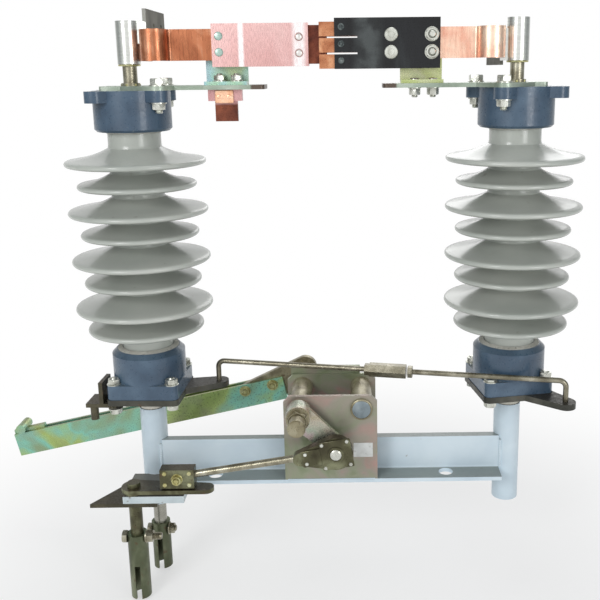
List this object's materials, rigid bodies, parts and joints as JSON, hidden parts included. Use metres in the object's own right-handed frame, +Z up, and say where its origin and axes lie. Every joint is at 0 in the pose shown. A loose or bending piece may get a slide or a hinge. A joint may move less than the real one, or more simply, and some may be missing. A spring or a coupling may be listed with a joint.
{
  "type": "centre-break disconnect switch pole with earthing blade",
  "caption": "One pole of an outdoor substation disconnect switch: two turning porcelain posts on a beam, linked so the contact arms part in the middle, with an earthing blade.",
  "frame": {"origin": "middle of the underside of the base beam, between the two fixing holes", "axes": "+X from the left column to the right one, +Y to the back, where the arms open to, +Z up"},
  "size_m": [0.9255, 0.274, 0.87],
  "materials": {
    "beam_paint": "satin pale grey paint",
    "bushing": "plain bearing bronze",
    "box_plate": "dull galvanised steel",
    "shaft_steel": "zinc plated steel",
    "lever_steel": "brownish weathered steel",
    "cap_paint": "dark slate blue paint over cast iron",
    "porcelain": "glossy light grey glaze",
    "plate_steel": "pale galvanised steel",
    "chromate": "yellow chromate on zinc",
    "terminal_metal": "bright turned metal",
    "copper": "bare copper, satin",
    "leaf_black": "black semi-gloss"
  },
  "bodies": {
    "base": {"channel_beam": "beam_paint", "left_bearing_tube": "beam_paint", "right_bearing_tube": "beam_paint", "left_bushes": "bushing", "right_bushes": "bushing", "box_front_plate": "box_plate", "box_rear_plate": "box_plate", "box_back_strip": "box_plate", "earth_shaft_tube": "box_plate", "box_spacer_tube": "box_plate", "drive_bearing_plate": "beam_paint", "stop_plate": "beam_paint"},
    "left_column": {"left_shaft": "shaft_steel", "left_drive_lever": "lever_steel", "left_bottom_cap": "cap_paint", "left_insulator": "porcelain", "left_top_cap": "cap_paint", "left_top_plate": "plate_steel", "left_terminal_stud": "terminal_metal", "left_terminal_head": "terminal_metal", "left_strap": "copper", "left_bracket": "chromate", "blade_plates": "copper", "blade_spacer": "copper", "contact_tongue": "copper", "earth_contact": "copper", "interlock_bracket": "chromate", "left_pipe_socket": "shaft_steel"},
    "right_column": {"right_shaft": "shaft_steel", "right_drive_lever": "lever_steel", "right_bottom_cap": "cap_paint", "right_insulator": "porcelain", "right_top_cap": "cap_paint", "right_top_plate": "plate_steel", "right_terminal_stud": "terminal_metal", "right_terminal_head": "terminal_metal", "right_strap": "copper", "right_bracket": "chromate", "contact_fingers": "copper", "leaf_springs": "leaf_black", "finger_spacer": "copper"},
    "link_left": {"link_rod_left": "shaft_steel"},
    "link_right": {"link_rod_right": "shaft_steel"},
    "earth_blade": {"earth_shaft": "shaft_steel", "earth_crank": "chromate", "earth_hub": "chromate", "earth_bars": "chromate", "earth_tip": "copper"},
    "earth_drive": {"earth_lever": "shaft_steel", "earth_pipe_socket": "shaft_steel"},
    "earth_link": {"earth_link_rod": "shaft_steel", "earth_link_left_end": "shaft_steel", "earth_link_right_end": "shaft_steel"}
  },
  "joints": [
    {"name": "left_column_turn", "type": "hinge", "parent": "base", "child": "left_column", "pos_m": [-0.275, 0.031, 0], "axis": [0, 0, 1], "range_deg": [0, 90]},
    {"name": "right_column_turn", "type": "hinge", "parent": "base", "child": "right_column", "pos_m": [0.275, 0.031, 0], "axis": [0, 0, 1], "range_deg": [-90, 0]},
    {"name": "link_left_pin", "type": "hinge", "parent": "left_column", "child": "link_left", "pos_m": [-0.17554, 0.06141, 0.129], "axis": [0, 0, 1], "range_deg": [-97.07, 0]},
    {"name": "link_right_pin", "type": "hinge", "parent": "right_column", "child": "link_right", "pos_m": [0.34564, -0.04533, 0.129], "axis": [0, 0, 1], "range_deg": [0, 82.93]},
    {"name": "earth_blade_swing", "type": "hinge", "parent": "base", "child": "earth_blade", "pos_m": [-0.045, 0.031, 0.1195], "axis": [0, 1, 0], "range_deg": [0, 72.9]},
    {"name": "earth_drive_turn", "type": "hinge", "parent": "base", "child": "earth_drive", "pos_m": [-0.292, -0.045, 0], "axis": [0, 0, 1], "range_deg": [-98.09, 0]},
    {"name": "earth_link_ball", "type": "hinge", "parent": "earth_drive", "child": "earth_link", "pos_m": [-0.224, -0.051, 0.03], "axis": [-0.0446, 0.0071, 0.999], "range_deg": [0, 112.73]}
  ],
  "couplings": [
    {"joint": "right_column_turn", "follows": "left_column_turn", "ratio": -1},
    {"joint": "link_left_pin", "follows": "left_column_turn", "ratio": -1.0786},
    {"joint": "link_right_pin", "follows": "left_column_turn", "ratio": 0.92143},
    {"joint": "earth_drive_turn", "follows": "earth_blade_swing", "ratio": -1.3455},
    {"joint": "earth_link_ball", "follows": "earth_blade_swing", "ratio": 1.5464}
  ]
}
